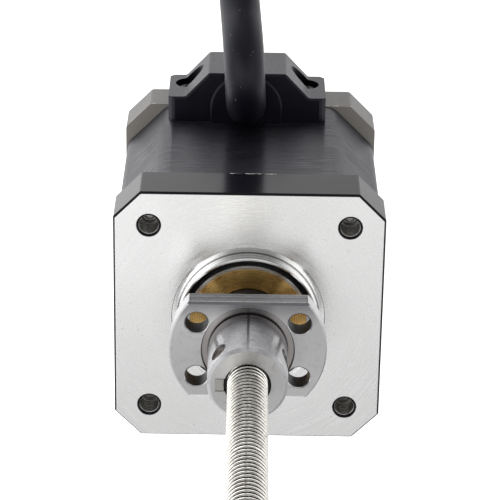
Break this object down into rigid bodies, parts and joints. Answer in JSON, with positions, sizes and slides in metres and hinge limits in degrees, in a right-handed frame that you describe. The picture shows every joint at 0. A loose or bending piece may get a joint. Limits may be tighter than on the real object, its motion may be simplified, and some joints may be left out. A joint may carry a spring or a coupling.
{
  "type": "stepper motor with ball screw",
  "caption": "Square hybrid stepper motor whose shaft is a long miniature ball screw carrying a flanged ball nut, with a side cable gland and a free cable.",
  "frame": {"origin": "centre of the motor's mounting face, on the screw's axis", "axes": "+Z along the screw, away from the motor; the cable gland is on the +Y side; +X completes the frame"},
  "size_m": [0.0726, 0.1643, 0.1465],
  "materials": {
    "machined_cap": "fine machined face, black lacquered edges",
    "lacquered_stack": "black lacquer over laminations",
    "cast_cap": "grey-brown lacquered casting",
    "insulator": "moulded",
    "copper": "enamelled copper wire",
    "circuit_board": "board",
    "zinc_screw": "zinc plated",
    "bright_steel": "ground",
    "dark_steel": "blackened",
    "chrome_steel": "polished",
    "cage": "moulded",
    "brass_shield": "spun, satin",
    "black_sleeve": "matte black",
    "rotor_steel": "ground laminations",
    "magnet": "nickel plated magnet",
    "screw_steel": "rolled and polished thread",
    "nut_steel": "ground",
    "return_plastic": "moulded",
    "wiper_plastic": "moulded",
    "black_plastic": "moulded, fine texture",
    "dark_screw": "black oxide",
    "cable_sheath": "smooth sheath",
    "tie_plastic": "moulded nylon",
    "shrink_sleeve": "heat-shrunk",
    "lead_black": "insulated wire",
    "lead_green": "insulated wire",
    "lead_red": "insulated wire",
    "lead_blue": "insulated wire",
    "tinned_copper": "tinned strands"
  },
  "bodies": {
    "motor": {"front_end_cap": "machined_cap", "stator_stack": "lacquered_stack", "rear_end_cap": "cast_cap", "front_insulator": "insulator", "rear_insulator": "insulator", "windings": "copper", "terminal_board": "circuit_board", "case_screws": "zinc_screw", "front_bearing_outer_ring": "bright_steel", "front_bearing_shield": "brass_shield", "front_bearing_sleeve": "black_sleeve", "rear_bearing_outer_ring": "bright_steel", "wave_washer": "bright_steel", "cable_gland": "black_plastic", "gland_screws": "dark_screw", "cable_jacket": "cable_sheath", "cable_coil": "cable_sheath", "cable_tie": "tie_plastic", "cable_end_sleeve": "shrink_sleeve", "lead_black": "lead_black", "lead_green": "lead_green", "lead_red": "lead_red", "lead_blue": "lead_blue", "lead_tips": "tinned_copper"},
    "screw": {"ball_screw": "screw_steel", "rotor_front_cup": "rotor_steel", "rotor_rear_cup": "rotor_steel", "rotor_magnet": "magnet", "front_bearing_inner_ring": "dark_steel", "rear_bearing_inner_ring": "bright_steel"},
    "nut": {"ball_nut": "nut_steel", "nut_balls": "chrome_steel", "nut_return_caps": "return_plastic", "nut_wiper": "wiper_plastic"},
    "front_balls": {"front_bearing_balls": "chrome_steel", "front_bearing_cage": "cage"},
    "rear_balls": {"rear_bearing_balls": "chrome_steel", "rear_bearing_cage": "cage"}
  },
  "joints": [
    {"name": "screw_spin", "type": "hinge", "parent": "motor", "child": "screw", "pos_m": [0, 0, 0], "axis": [0, 0, 1], "range_deg": [-23400, 1800]},
    {"name": "nut_travel", "type": "slide", "parent": "motor", "child": "nut", "axis": [0, 0, 1], "range_m": [-0.005, 0.065]},
    {"name": "front_ball_orbit", "type": "hinge", "parent": "motor", "child": "front_balls", "pos_m": [0, 0, -0.00145], "axis": [0, 0, 1], "range_deg": [-9243, 711]},
    {"name": "rear_ball_orbit", "type": "hinge", "parent": "motor", "child": "rear_balls", "pos_m": [0, 0, -0.0422], "axis": [0, 0, 1], "range_deg": [-9161.1, 704.7]}
  ],
  "couplings": [
    {"joint": "nut_travel", "follows": "screw_spin", "m_per_rad": -0.00015915},
    {"joint": "front_ball_orbit", "follows": "screw_spin", "ratio": 0.395},
    {"joint": "rear_ball_orbit", "follows": "screw_spin", "ratio": 0.3915}
  ]
}
